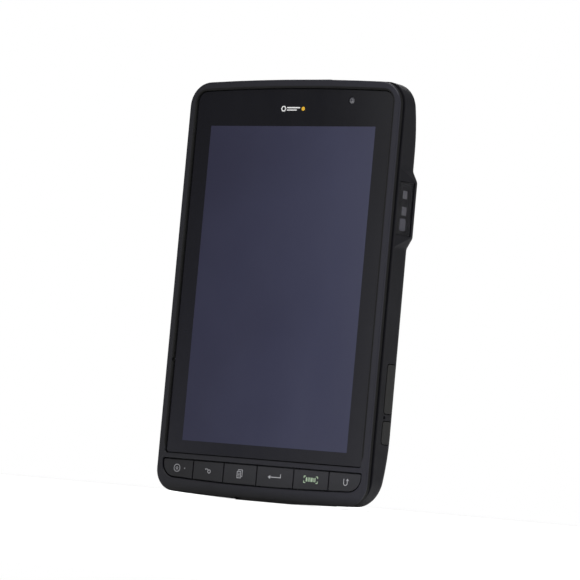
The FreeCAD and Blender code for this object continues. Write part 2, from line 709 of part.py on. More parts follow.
def engine_bracket():
    """Metal bracket that screws the imager to the mid frame."""
    plate = block((46, 56), (4.0, 4.15), (25.2, 51.3))
    ears = [block((48, 54), (4.15, 8.0), (z, z + 0.5)) for z in (26.3, 49.7)]
    return plate.fuse(ears).removeSplitter()


# ---- ports --------------------------------------------------------------------------------------
def port_flap(z):
    """Rubber flap that follows the housing's surface, with a plug on its inner side."""
    span_x = (HOUSING_HALF_WIDTH - FLAP_THICKNESS, 70)
    skin = housing_outside().common(soft_block(span_x, (FLAP_FRONT, FLAP_BACK), z, FLAP_CORNER, X_AXIS))
    plug_x = (HOUSING_HALF_WIDTH - PORT_POCKET_DEPTH + 0.3, HOUSING_HALF_WIDTH - FLAP_THICKNESS)
    plug = soft_block(plug_x, (FLAP_FRONT + 1.2, FLAP_BACK - 1.4), grown(z, -1.2), 0.8, X_AXIS)
    return skin.fuse(plug).removeSplitter()


def usb_socket():
    """Metal shell with a centre tongue, open to the side."""
    z = middle(SHORT_FLAP_Z)
    mouth = HOUSING_HALF_WIDTH - PORT_POCKET_DEPTH
    shell = soft_block((mouth - 7.4, mouth), (7.4, 10.7), (z - 4.5, z + 4.5), 1.55, X_AXIS)
    shell = shell.cut(soft_block((mouth - 6.4, mouth + 1), (7.7, 10.4), (z - 4.2, z + 4.2), 1.3, X_AXIS))
    tongue = block((mouth - 6.6, mouth - 0.8), (8.7, 9.4), (z - 3.3, z + 3.3))
    return shell.fuse(tongue).removeSplitter()


def card_socket():
    """Flat tray housing for a memory card."""
    z = middle(LONG_FLAP_Z)
    mouth = HOUSING_HALF_WIDTH - PORT_POCKET_DEPTH
    shell = block((mouth - 14.5, mouth), (7.95, 10.05), (z - 7.5, z + 7.5))
    return shell.cut(block((mouth - 13.0, mouth + 1), (8.5, 9.6), (z - 6.2, z + 6.2)))


def port_board():
    return block((43.0, 55.0), (10.8, 11.6), (-72.0, -33.0))


# ---- edge keys ----------------------------------------------------------------------------------
def power_button():
    """Oblong button in the top edge; its flange is inside the wall."""
    cap_x, cap_y = grown(POWER_X, -SIDE_KEY_GAP), grown(POWER_Y, -SIDE_KEY_GAP)
    cap = soft_block(cap_x, cap_y, POWER_CAP_Z, SIDE_KEY_CORNER, Z_AXIS)
    cap = cap.makeFillet(0.4, edges_in_plane(cap, Z_AXIS, POWER_CAP_Z[1]))
    flange = soft_block(grown(POWER_X, 0.6), grown(POWER_Y, 0.4), (94.9, 95.6), 1.0, Z_AXIS)
    return cap.fuse(flange).removeSplitter()


def power_switch():
    """Tact switch on the upper edge of the main board."""
    x = middle(POWER_X)
    body = block((x - 3.5, x + 3.5), (4.2, 6.8), (BOARD_Z[1], 93.8))
    return body.fuse(block((x - 1.2, x + 1.2), (4.7, 6.3), (93.7, 94.3))).removeSplitter()


def volume_key(z):
    """Oblong key in the left wall; its flange is inside the wall."""
    wall = -HOUSING_HALF_WIDTH + SIDE_WALL
    cap_x = (WIDEST_LEFT, wall + 0.5)
    cap = soft_block(cap_x, grown(VOLUME_Y, -SIDE_KEY_GAP), grown(z, -SIDE_KEY_GAP), SIDE_KEY_CORNER, X_AXIS)
    cap = cap.makeFillet(0.4, edges_in_plane(cap, X_AXIS, WIDEST_LEFT))
    flange = block((wall + 0.3, wall + 1.0), grown(VOLUME_Y, 0.4), grown(z, 0.4))
    return cap.fuse(flange).removeSplitter()


def side_key_board():
    """Small board with one switch behind each volume key."""
    board = block((-56.4, -55.6), (4.6, 8.6), (30.0, 60.0))
    for z in (VOLUME_UP_Z, VOLUME_DOWN_Z):
        centre = middle(z)
        board = board.fuse(block((-57.4, -56.3), (5.4, 7.8), (centre - 2, centre + 2)))
    return board.removeSplitter()


# ---- dock ---------------------------------------------------------------------------------------
def dock_surround():
    """Hard black frame around the charging contacts; the device stands on it."""
    frame = soft_block(DOCK_X, DOCK_Y, (STANDING_LEVEL, -98.7), 2.0, Z_AXIS)
    frame = frame.fuse(soft_block(grown(DOCK_X, -1.5), (2.7, 9.7), (-98.8, -97.2), 1.0, Z_AXIS))
    pocket = soft_block(grown(DOCK_X, -3.0), grown(DOCK_Y, -2.2),
                        (STANDING_LEVEL - 1, STANDING_LEVEL + DOCK_POCKET_DEPTH), 1.5, Z_AXIS)
    frame = frame.cut(pocket).cut(block(grown(DOCK_BLOCK_X, 0.05), grown(DOCK_BLOCK_Y, 0.05), (-100, -90)))
    low = STANDING_LEVEL
    far_x = DOCK_X[1] + 4
    far_z = low + DOCK_RISE[1] * (far_x - DOCK_RISE[0]) / (DOCK_X[1] - DOCK_RISE[0])
    wedge = [V(DOCK_RISE[0], 0, low), V(far_x, 0, far_z), V(far_x, 0, low - 1), V(DOCK_RISE[0], 0, low - 1)]
    frame = frame.cut(Part.Face(Part.makePolygon(wedge + wedge[:1])).extrude(V(0, 20, 0)))
    return frame.removeSplitter()


def dock_connector():
    return block(DOCK_BLOCK_X, DOCK_BLOCK_Y, DOCK_BLOCK_Z)


def dock_pin_x():
    """Contacts evenly spaced along the connector."""
    first = middle(DOCK_BLOCK_X) - DOCK_PIN_PITCH * (DOCK_PIN_COUNT - 1) / 2
    return [first + DOCK_PIN_PITCH * step for step in range(DOCK_PIN_COUNT)]


def dock_contacts():
    """Gilt contact pads on the connector's face."""
    pad_z = (DOCK_BLOCK_Z[0] - 0.3, DOCK_BLOCK_Z[0])
    pads = [block((x - 0.9, x + 0.9), (5.6, 8.4), pad_z) for x in dock_pin_x()]
    return Part.makeCompound(pads)


# ---- electronics --------------------------------------------------------------------------------
def main_board():
    board = block((-46, 46), BOARD_Y, BOARD_Z)
    return board.cut(block((37.5, 50), (4, 8), (BOARD_Z[0] - 1, 56)))


def shield_cans():
    spans = (((-8, 30), (60, 86)), ((-42, -14), (30, 56)), ((-8, 28), (30, 54)))
    cans = [soft_block(x, (BOARD_Y[1], BOARD_Y[1] + 1.7), z, 1.0) for x, z in spans]
    return Part.makeCompound(cans)


def rear_camera_module():
    x, z = REAR_CAMERA
    body = soft_block((x - 4.5, x + 4.5), (BOARD_Y[1], 12.4), (z - 4.5, z + 4.5), 0.8)
    return body.fuse(rod(V(x, 12.3, z), 3.4, 2.2, Y_AXIS)).removeSplitter()


def rear_camera_window():
    x, z = REAR_CAMERA
    return rod(V(x, 14.85, z), 5.3, 0.8, Y_AXIS)


def flash_lens():
    x, z = FLASH
    return rod(V(x, 14.85, z), 2.5, 0.8, Y_AXIS)


def flash_lamp():
    x, z = FLASH
    return block((x - 1.2, x + 1.2), (BOARD_Y[1], 14.0), (z - 1.2, z + 1.2))


def loudspeaker():
    return soft_block((-13, 13), (7.0, 12.2), (-90.0, -79.0), 1.5)


def speaker_grille():
    """Perforated insert over the loudspeaker."""
    plate = soft_block(GRILLE_X, (15.0, HOUSING_BACK), GRILLE_Z, 1.9)
    holes = []
    for row in range(3):
        for column in range(11):
            x = middle(GRILLE_X) + 2.0 * (column - 5)
            z = middle(GRILLE_Z) + 2.0 * (row - 1)
            holes.append(rod(V(x, 14, z), 0.55, 3, Y_AXIS))
    return plate.cut(holes)


def vibration_motor():
    case = rod(V(-50, 8.5, -38), 2.2, 10, Z_AXIS)
    foot = block((-52.2, -47.8), (8.5, 12.8), (-37, -29))
    return case.fuse(foot).removeSplitter()


def antennas():
    """Printed aerials on the inner left wall and under the top wall."""
    side = block((-58.6, -58.3), (4.6, 9.6), (-62.0, -22.0))
    top = block((-44.0, -12.0), (5.6, 9.6), (94.4, 94.7))
    return Part.makeCompound([side, top])


def display_flex():
    """Ribbon from the display, through the mid frame, up to the main board."""
    across = (-9, 9)
    tail = block(across, (BACKLIGHT_Y[1], RIBBON_Y[1]), (-78.6, -78.4))
    run = block(across, RIBBON_Y, (-78.6, 31.0))
    plug = block(across, (RIBBON_Y[1], BOARD_Y[0]), (27.0, 31.0))
    return tail.fuse([run, plug]).removeSplitter()


def keypad_flex():
    """Ribbon from the keypad board past the battery to the main board."""
    return block((-46, -42), (5.45, 5.6), (-93.0, BOARD_Z[0]))


def engine_flex():
    """L-shaped ribbon from the imager to the main board."""
    layer = (BOARD_Y[1], BOARD_Y[1] + 0.15)
    across = block((31.0, 43.9), layer, (57.0, 61.0))
    down = block((40.0, 43.9), layer, (44.0, 57.5))
    return across.fuse(down).removeSplitter()


# ---- export -------------------------------------------------------------------------------------
PIECES = {
    "front_bezel": front_bezel,
    "cover_glass": cover_glass,
    "glass_adhesive": glass_adhesive,
    "optical_adhesive": optical_adhesive,
    "lcd_panel": lcd_panel,
    "backlight_unit": backlight_unit,
    "mid_frame": mid_frame,
    "front_camera_module": front_camera_module,
    "front_camera_lens": front_camera_lens,
    "keypad_mat": keypad_mat,
    "keypad_board": keypad_board,
    "keypad_flex": keypad_flex,
    "rear_housing": rear_housing,
    "perimeter_seal": perimeter_seal,
    "housing_screws": housing_screws,
    "battery_pack": battery_pack,
    "battery_contacts": battery_contacts,
    "battery_cover": battery_cover,
    "battery_seal": battery_seal,
    "scan_window": scan_window,
    "window_seal": window_seal,
    "scan_engine_body": scan_engine_body,
    "scan_lamp": lambda: scan_optic(SCAN_LAMP, 0.3),
    "scan_aimer": lambda: scan_optic(SCAN_AIMER, 0.3),
    "scan_lens": lambda: scan_optic(SCAN_LENS, 1.2),
    "engine_bracket": engine_bracket,
    "engine_flex": engine_flex,
    "long_port_flap": lambda: port_flap(LONG_FLAP_Z),
    "short_port_flap": lambda: port_flap(SHORT_FLAP_Z),
    "usb_socket": usb_socket,
    "card_socket": card_socket,
    "port_board": port_board,
    "power_button": power_button,
    "power_switch": power_switch,
    "volume_up_key": lambda: volume_key(VOLUME_UP_Z),
    "volume_down_key": lambda: volume_key(VOLUME_DOWN_Z),
    "side_key_board": side_key_board,
    "dock_surround": dock_surround,
    "dock_connector": dock_connector,
    "dock_contacts": dock_contacts,
    "main_board": main_board,
    "shield_cans": shield_cans,
    "rear_camera_module": rear_camera_module,
    "rear_camera_window": rear_camera_window,
    "flash_lens": flash_lens,
    "flash_lamp": flash_lamp,
    "loudspeaker": loudspeaker,
    "speaker_grille": speaker_grille,
    "vibration_motor": vibration_motor,
    "antennas": antennas,
    "display_flex": display_flex,
}
for number, key_name in enumerate(KEY_NAMES):
    PIECES[key_name] = lambda number=number: front_key(number)
for side, across in zip(("left", "right"), LATCH_CENTRES):
    PIECES["battery_latch_" + side] = lambda across=across: battery_latch(across)

os.makedirs("parts", exist_ok=True)
for node, make in PIECES.items():
    place(make()).exportStep("parts/" + node + ".step")
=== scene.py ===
import math

import bmesh
import bpy
from mathutils import Matrix, Vector


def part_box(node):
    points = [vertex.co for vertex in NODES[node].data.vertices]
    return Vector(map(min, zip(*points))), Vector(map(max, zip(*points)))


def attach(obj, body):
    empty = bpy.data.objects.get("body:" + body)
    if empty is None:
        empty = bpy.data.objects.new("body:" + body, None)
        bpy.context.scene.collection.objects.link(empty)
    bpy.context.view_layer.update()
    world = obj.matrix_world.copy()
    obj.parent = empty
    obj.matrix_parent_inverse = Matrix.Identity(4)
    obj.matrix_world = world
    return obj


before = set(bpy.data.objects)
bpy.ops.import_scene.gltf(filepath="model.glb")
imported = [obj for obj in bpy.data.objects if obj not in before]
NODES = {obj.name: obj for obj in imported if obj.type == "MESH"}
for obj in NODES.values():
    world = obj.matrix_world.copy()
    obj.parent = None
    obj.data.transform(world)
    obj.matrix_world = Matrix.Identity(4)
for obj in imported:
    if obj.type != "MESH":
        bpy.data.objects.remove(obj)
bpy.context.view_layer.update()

MM = 0.001
KEYS = ("key_home", "key_lock", "key_tasks", "key_enter", "key_scan", "key_back")

# Outline of the cover glass: corner radius, height of its lowest corners above its box, and the bow of
# its upper edge, which falls by GLASS_BOW times the square of the distance from the middle.
GLASS_CORNER = 5.0 * MM
GLASS_FOOT = 0.8 * MM
GLASS_BOW = 0.4545

# Where the bezel's painted shade starts and ends: behind the rim's crest, above the lower edge on the
# chin, and outside the glass on the rim's inner lip.
CREST = (0.65 * MM, 1.1 * MM)
CHIN = (0.6 * MM, 5.5 * MM)
LIP = (1.0 * MM, 1.5 * MM)

# Where the key row's painted light and shade start and end: in from the bezel's two ends, and above its
# foot.
KEY_ROW_ENDS = (15.0 * MM, 45.0 * MM)
KEY_ROW_HEIGHTS = (16.0 * MM, 7.0 * MM)

# Ink stands a little proud of the face that it is printed on, and starts a little under it.
INK_PROUD = 0.03 * MM
INK_SUNK = 0.02 * MM

# Camera: place in metres, its yaw, upward tilt and roll in degrees, and its lens in millimetres.
CAMERA_PLACE = (0.8261, -1.1732, 0.0029)
CAMERA_YAW = 35.13
CAMERA_TILT = 3.876
CAMERA_ROLL = 5.17
CAMERA_LENS = 189.93
CAMERA_REACH = 50.0

# Lights, all aimed at the object's middle. Each panel: name, place, width and height, power.
AIM = (0.0, 0.0, 0.1)
SUN_PLACE = (0.25, -0.35, 1.6)
SUN_POWER = 2.2
SUN_WIDTH = 70.0
PANELS = (
    ("front_panel", (-0.40, -1.1, 0.35), (0.5, 0.9), 1.3),
    ("right_panel", (0.75, -0.55, 0.5), (0.4, 0.5), 0.25),
    ("top_panel", (0.3, -0.4, 1.1), (0.5, 0.4), 2.0),
    ("side_panel", (1.45, 0.0, 0.45), (0.7, 0.7), 2.0),
    ("back_panel", (-0.75, 1.15, 0.6), (0.9, 0.8), 7.0),
)
SURROUND_ON_OBJECT = 0.34
SURROUND_SEEN = 1.0
FLOOR_HALF_SIZE = 8.0


# ---- surfaces -----------------------------------------------------------------------------------
class Surface:
    """A Principled material, with short ways to add the nodes that the recipes share."""

    def __init__(self, name, **settings):
        self.material = bpy.data.materials.new(name)
        self.material.use_nodes = True
        self.tree = self.material.node_tree
        self.shader = self.tree.nodes["Principled BSDF"]
        self.place = self.node("ShaderNodeTexCoord").outputs["Object"]
        for label, value in settings.items():
            self.shader.inputs[label.replace("_", " ")].default_value = value

    def node(self, kind, sockets=(), **attributes):
        """New node, with its inputs fed by name."""
        made = self.tree.nodes.new(kind)
        for label, value in attributes.items():
            setattr(made, label, value)
        for label, value in dict(sockets).items():
            self.feed(value, made.inputs[label])
        return made

    def feed(self, value, socket):
        if isinstance(value, bpy.types.NodeSocket):
            self.tree.links.new(value, socket)
        else:
            socket.default_value = value

    def sum(self, operation, *values):
        """Result of one arithmetic step."""
        made = self.tree.nodes.new("ShaderNodeMath")
        made.operation = operation
        for socket, value in zip(made.inputs, values):
            self.feed(value, socket)
        return made.outputs[0]

    def axis(self, letter):
        """One coordinate of the point being shaded, in metres of the shared frame."""
        return self.node("ShaderNodeSeparateXYZ", {"Vector": self.place}).outputs[letter]

    def noise(self, size_mm, detail=2.0, roughness=0.5, stretch=None):
        """Noise whose features are about size_mm across."""
        place = self.place
        if stretch is not None:
            place = self.node("ShaderNodeMapping", {"Vector": place, "Scale": stretch}).outputs[0]
        scale = 1.0 / (size_mm * MM)
        sockets = {"Vector": place, "Scale": scale, "Detail": detail, "Roughness": roughness}
        return self.node("ShaderNodeTexNoise", sockets).outputs[0]

    def spread(self, value, low, high, start=0.3, end=0.7):
        """Value between start and end, taken to between low and high."""
        sockets = {"Value": value, "From Min": start, "From Max": end, "To Min": low, "To Max": high}
        return self.node("ShaderNodeMapRange", sockets).outputs[0]

    def blend(self, share, first, second):
        """Colour between first and second."""
        made = self.tree.nodes.new("ShaderNodeMix")
        made.data_type = "RGBA"
        self.feed(share, made.inputs[0])
        self.feed(first, made.inputs[6])
        self.feed(second, made.inputs[7])
        return made.outputs[2]

    def bump(self, height, depth_mm):
        """Surface relief that deep."""
        sockets = {"Height": height, "Distance": depth_mm * MM, "Strength": 1.0}
        return self.node("ShaderNodeBump", sockets).outputs[0]

    def edges(self, width_mm):
        """1 along sharp outer edges and 0 on flats, however the surface faces."""
        rounded = self.node("ShaderNodeBevel", {"Radius": width_mm * MM}, samples=4).outputs[0]
        plain = self.node("ShaderNodeNewGeometry").outputs["Normal"]
        likeness = self.node("ShaderNodeVectorMath", operation="DOT_PRODUCT")
        self.feed(rounded, likeness.inputs[0])
        self.feed(plain, likeness.inputs[1])
        return self.spread(likeness.outputs["Value"], 1.0, 0.0, 0.80, 0.99)

    def finish(self, colour, roughness, normal=None, alpha=None):
        """Feeds the shader, and gives the finished material."""
        inputs = {"Base Color": colour, "Roughness": roughness, "Normal": normal, "Alpha": alpha}
        for label, value in inputs.items():
            if value is not None:
                self.feed(value, self.shader.inputs[label])
        return self.material


def grey(level, blue=1.0):
    """Colour of that level, a little bluish above 1."""
    return (level, level, level * blue, 1.0)


def scaled(colour, by):
    """The same hue, lighter above 1 and darker below."""
    return tuple(channel * by for channel in colour[:3]) + (1.0,)


def moulded(name, colour, roughness, grain_mm, depth_mm, specular=0.3, wear_and_highlight_amount=0.3):
    """Moulded plastic: eroded grain, slow drift of tone and gloss, and smoother edges painted lighter,
    partly wear and partly a painted highlight.
    """
    surface = Surface(name, Specular_IOR_Level=specular)
    drift = surface.spread(surface.noise(35.0), 0.0, 1.0)
    tone = surface.blend(drift, scaled(colour, 0.88), scaled(colour, 1.12))
    grain = surface.noise(grain_mm, 3.0, 0.6)
    pits = surface.spread(grain, 0.82, 1.1, 0.35, 0.6)
    tone = surface.blend(surface.spread(pits, 0.0, 0.35, 0.82, 1.1), tone, scaled(colour, 0.7))
    # Painted highlight and wear: every edge is painted lighter and made smoother.
    edge_wear_and_highlight = surface.sum("MULTIPLY", surface.edges(0.35), wear_and_highlight_amount)
    tone = surface.blend(edge_wear_and_highlight, tone, scaled(colour, 2.2))
    gloss = surface.spread(surface.noise(8.0, 3.0), roughness - 0.05, roughness + 0.05)
    gloss = surface.sum("SUBTRACT", gloss, surface.sum("MULTIPLY", edge_wear_and_highlight, 0.2))
    return surface.finish(tone, gloss, surface.bump(grain, depth_mm))


def beyond_glass(surface):
    """Distance of the point outside the cover glass's bowed and rounded outline, in metres."""
    low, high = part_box("cover_glass")
    low = low + Vector((0.0, 0.0, GLASS_FOOT))
    across = surface.sum("SUBTRACT", surface.axis("X"), (low.x + high.x) / 2)
    up = surface.sum("SUBTRACT", surface.axis("Z"), (low.z + high.z) / 2)
    upper_half = surface.sum("GREATER_THAN", up, 0.0)
    bow = surface.sum("MULTIPLY", surface.sum("MULTIPLY", across, across), GLASS_BOW)
    up = surface.sum("ADD", up, surface.sum("MULTIPLY", bow, upper_half))
    total = 0.0
    for offset, reach in ((across, (high.x - low.x) / 2), (up, (high.z - low.z) / 2)):
        past = surface.sum("SUBTRACT", surface.sum("ABSOLUTE", offset), reach - GLASS_CORNER)
        past = surface.sum("MAXIMUM", past, 0.0)
        total = surface.sum("ADD", total, surface.sum("MULTIPLY", past, past))
    return surface.sum("SUBTRACT", surface.sum("SQRT", total), GLASS_CORNER)


def bezel_plastic():
    """Satin charcoal plastic, painted lighter towards the right, and near black with painted shade and
    duller below the crest of the rim, beside the glass and on the chin.
    """
    surface = Surface("bezel_plastic", Specular_IOR_Level=0.28)
    low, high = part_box("front_bezel")
    # Painted shade: the bezel turns near black behind the rim's crest.
    below = surface.spread(surface.axis("Y"), 0.0, 1.0, low.y + CREST[0], low.y + CREST[1])
    drift = surface.spread(surface.noise(40.0), -0.12, 0.12)
    # Painted light: on top of the random drift, the tone grows lighter from left to right.
    drift = surface.sum("ADD", drift, surface.spread(surface.axis("X"), 0.0, 1.0, -high.x, high.x))
    tone = surface.blend(drift, grey(0.0042, 1.8), grey(0.0132, 1.6))
    grain = surface.noise(0.28, 3.0, 0.6)
    tone = surface.blend(surface.spread(grain, 0.25, 0.0, 0.35, 0.6), tone, grey(0.007, 1.2))
    # Painted shade: near black on the chin towards its lower edge, and on the rim's lip beside the glass.
    chin = surface.spread(surface.axis("Z"), 1.0, 0.0, low.z + CHIN[0], low.z + CHIN[1])
    lip = surface.spread(beyond_glass(surface), 1.0, 0.0, *LIP)
    shade = surface.sum("MAXIMUM", surface.sum("MAXIMUM", below, chin), lip)
    tone = surface.blend(shade, tone, grey(0.0012))
    gloss = surface.spread(surface.noise(7.0, 3.0), 0.36, 0.44)
    gloss = surface.sum("ADD", gloss, surface.sum("MULTIPLY", shade, 0.4))
    return surface.finish(tone, gloss, surface.bump(grain, 0.012))


def key_plastic():
    """Satin key tops, painted lighter from charcoal at the left end of the row to slate at the right, and
    painted darker towards the foot of the row.
    """
    surface = Surface("key_plastic", Specular_IOR_Level=0.26)
    low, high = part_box("front_bezel")
    left, right = KEY_ROW_ENDS
    upper, lower = KEY_ROW_HEIGHTS
    # Painted light: the key tops grow lighter towards the right of the row.
    across = surface.spread(surface.axis("X"), 0.0, 1.0, low.x + left, high.x - right)
    # Painted shade: the key tops grow darker towards the foot of the row.
    down = surface.spread(surface.axis("Z"), 0.0, 0.45, low.z + upper, low.z + lower)
    tone = surface.blend(across, grey(0.0065, 1.3), grey(0.0225, 1.22))
    tone = surface.blend(down, tone, grey(0.008, 1.2))
    # Painted highlight and wear: the key tops' edges are painted lighter.
    edge_wear_and_highlight = surface.sum("MULTIPLY", surface.edges(0.3), 0.25)
    tone = surface.blend(edge_wear_and_highlight, tone, grey(0.05, 1.1))
    grain = surface.noise(0.16, 3.0, 0.6)
    gloss = surface.spread(surface.noise(6.0, 3.0), 0.38, 0.46)
    return surface.finish(tone, gloss, surface.bump(grain, 0.006))


def rubber(name, level=0.012):
    """Matt silicone rubber with a powdery bloom."""
    surface = Surface(name, Specular_IOR_Level=0.22, Sheen_Weight=0.05, Sheen_Roughness=0.4)
    bloom = surface.noise(3.0, 4.0, 0.7)
    tone = surface.blend(surface.spread(bloom, 0.0, 1.0), grey(level * 0.8), grey(level * 1.3))
    skin = surface.noise(0.18, 2.0)
    return surface.finish(tone, surface.spread(bloom, 0.62, 0.78), surface.bump(skin, 0.01))


def metal(name, colour, roughness):
    """Plated or machined metal, finely brushed, with faint stains."""
    surface = Surface(name, Metallic=1.0)
    lines = surface.noise(0.6, 4.0, 0.6, (1.0, 1.0, 12.0))
    stain = surface.spread(surface.noise(4.0, 3.0), 0.0, 1.0)
    tone = surface.blend(stain, scaled(colour, 0.8), colour)
    gloss = surface.spread(lines, roughness - 0.08, roughness + 0.1)
    return surface.finish(tone, gloss, surface.bump(lines, 0.004))


def circuit_board():
    """Green solder mask over a grid of copper runs."""
    surface = Surface("circuit_board", Specular_IOR_Level=0.5, Coat_Weight=0.4, Coat_Roughness=0.2)
    grid = {"Vector": surface.place, "Scale": 220.0, "Mortar Size": 0.08}
    levels = {"Color1": grey(0.0), "Color2": grey(0.25), "Mortar": grey(1.0)}
    runs = surface.node("ShaderNodeTexBrick", {**grid, **levels}).outputs[0]
    tone = surface.blend(runs, (0.008, 0.075, 0.03, 1.0), (0.02, 0.16, 0.06, 1.0))
    return surface.finish(tone, surface.spread(surface.noise(2.0), 0.3, 0.42), surface.bump(runs, 0.02))


def ribbon():
    """Amber polyimide ribbon with copper runs along it."""
    surface = Surface("flex_ribbon", Specular_IOR_Level=0.5)
    runs = {"Vector": surface.place, "Scale": 320.0, "Distortion": 0.4}
    waves = surface.node("ShaderNodeTexWave", runs).outputs[1]
    tone = surface.blend(waves, (0.34, 0.13, 0.02, 1.0), (0.60, 0.28, 0.06, 1.0))
    return surface.finish(tone, surface.spread(surface.noise(3.0), 0.28, 0.4), surface.bump(waves, 0.02))


def wrapped_cells():
    """Shrink-wrapped battery, softly creased."""
    surface = Surface("battery_wrap", Specular_IOR_Level=0.45)
    creases = surface.noise(6.0, 5.0, 0.65, (1.0, 1.0, 0.35))
    tone = surface.blend(surface.spread(creases, 0.0, 1.0), grey(0.03), grey(0.055))
    return surface.finish(tone, surface.spread(creases, 0.3, 0.5), surface.bump(creases, 0.15))


def soft_plate(name, colour, roughness=0.6):
    """Plain film or tray with a faint mottle."""
    surface = Surface(name, Specular_IOR_Level=0.3)
    mottle = surface.noise(2.5, 4.0, 0.6)
    tone = surface.blend(surface.spread(mottle, 0.0, 1.0), scaled(colour, 0.85), scaled(colour, 1.1))
    gloss = surface.spread(mottle, roughness - 0.06, roughness + 0.06)
    return surface.finish(tone, gloss, surface.bump(mottle, 0.01))


def inside_box(surface, low, high, blur_mm):
    """1 where the point lies inside the X-Z rectangle, with an edge blur_mm wide."""
    share = None
    for letter, start, end in (("X", low.x, high.x), ("Z", low.z, high.z)):
        offset = surface.sum("SUBTRACT", surface.axis(letter), (start + end) / 2)
        from_middle = surface.sum("ABSOLUTE", offset)
        reach = (end - start) / 2
        blur = blur_mm * MM / 2
        inside = surface.spread(from_middle, 1.0, 0.0, reach - blur, reach + blur)
        share = inside if share is None else surface.sum("MULTIPLY", share, inside)
    return share


def distance_from(surface, centre):
    """Distance of the point from a centre, across and up, in metres."""
    across = surface.sum("SUBTRACT", surface.axis("X"), centre.x)
    up = surface.sum("SUBTRACT", surface.axis("Z"), centre.z)
    across = surface.sum("MULTIPLY", across, across)
    up = surface.sum("MULTIPLY", up, up)
    return surface.sum("SQRT", surface.sum("ADD", across, up))


def cover_glass():
    """Hard gloss glass: black print round the dark slate display, with painted light that makes the
    display lighter towards the right and both lighter towards the bottom.
    """
    surface = Surface("cover_glass", Specular_IOR_Level=0.26, IOR=1.5)
    low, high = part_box("optical_adhesive")
    lit = inside_box(surface, low, high, 0.12)
    cloud = surface.spread(surface.noise(60.0, 2.0), -0.15, 0.15)
    # Painted light: the display grows lighter towards the right and towards the bottom.
    across = surface.spread(surface.axis("X"), 0.0, 0.85, low.x, high.x * 0.6)
    down = surface.spread(surface.axis("Z"), 1.0, 0.0, low.z, high.z)
    share = surface.sum("ADD", across, surface.sum("ADD", cloud, surface.sum("MULTIPLY", down, 0.3)))
    screen = surface.blend(share, (0.020, 0.020, 0.040, 1.0), (0.038, 0.040, 0.075, 1.0))
    pixels = surface.noise(0.2, 0.0)
    screen = surface.blend(surface.spread(pixels, 0.0, 0.25), screen, (0.02, 0.021, 0.048, 1.0))
    # Painted light: the black print grows lighter towards the bottom.
    border = surface.blend(down, grey(0.0024, 2.0), grey(0.0092, 1.5))
    tone = surface.blend(lit, border, screen)
    smears = surface.noise(22.0, 4.0, 0.6, (1.0, 1.0, 0.4))
    gloss = surface.spread(smears, 0.10, 0.17)
    return surface.finish(tone, gloss, surface.bump(smears, 0.002))


def scan_window():
    """Smoke-tinted clear plate."""
    surface = Surface("scan_tint", Specular_IOR_Level=0.4)
    smears = surface.noise(6.0, 3.0)
    tone = surface.blend(surface.spread(smears, 0.0, 1.0), grey(0.018, 1.15), grey(0.026, 1.15))
    return surface.finish(tone, surface.spread(smears, 0.06, 0.14), surface.bump(smears, 0.002), 0.42)


def optic(name, colour, roughness):
    """Glossy diffusing optic with a faint ripple in its face."""
    surface = Surface(name, Specular_IOR_Level=0.5, Coat_Weight=0.5, Coat_Roughness=0.08)
    ripple = surface.noise(0.5, 2.0)
    tone = surface.blend(surface.spread(ripple, 0.0, 1.0), scaled(colour, 0.75), colour)
    gloss = surface.spread(ripple, roughness - 0.05, roughness + 0.05)
    return surface.finish(tone, gloss, surface.bump(ripple, 0.01))


def camera_lens(name, node, radii, levels, gloss):
    """Round camera glass: a violet pupil, then a ring of each level outside each radius, in mm."""
    surface = Surface(name, Specular_IOR_Level=gloss)
    low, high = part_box(node)
    reach = distance_from(surface, (low + high) / 2)
    swirl = surface.noise(1.2, 2.0)
    deep = (0.004, 0.003, 0.010, 1.0)
    violet = (0.014, 0.010, 0.034, 1.0)
    tone = surface.blend(surface.spread(swirl, 0.0, 1.0), deep, violet)
    for radius, level in zip(radii, levels):
        outside = surface.spread(reach, 0.0, 1.0, (radius - 0.05) * MM, (radius + 0.05) * MM)
        tone = surface.blend(outside, tone, grey(level, 1.15))
    return surface.finish(tone, surface.spread(swirl, 0.05, 0.12), surface.bump(swirl, 0.001))


def legend(name, colour):
    """Pad-printed ink, slightly uneven."""
    surface = Surface(name, Specular_IOR_Level=0.2)
    ink = surface.noise(0.35, 3.0)
    tone = surface.blend(surface.spread(ink, 0.0, 1.0), scaled(colour, 0.82), colour)
    return surface.finish(tone, surface.spread(ink, 0.5, 0.62), surface.bump(ink, 0.004))


def dress(material, *names):
    """Gives CAD nodes a finished material."""
    for name in names:
        piece = NODES[name]
        if not piece.material_slots:
            piece.data.materials.append(material)
        for place in piece.material_slots:
            place.material = material


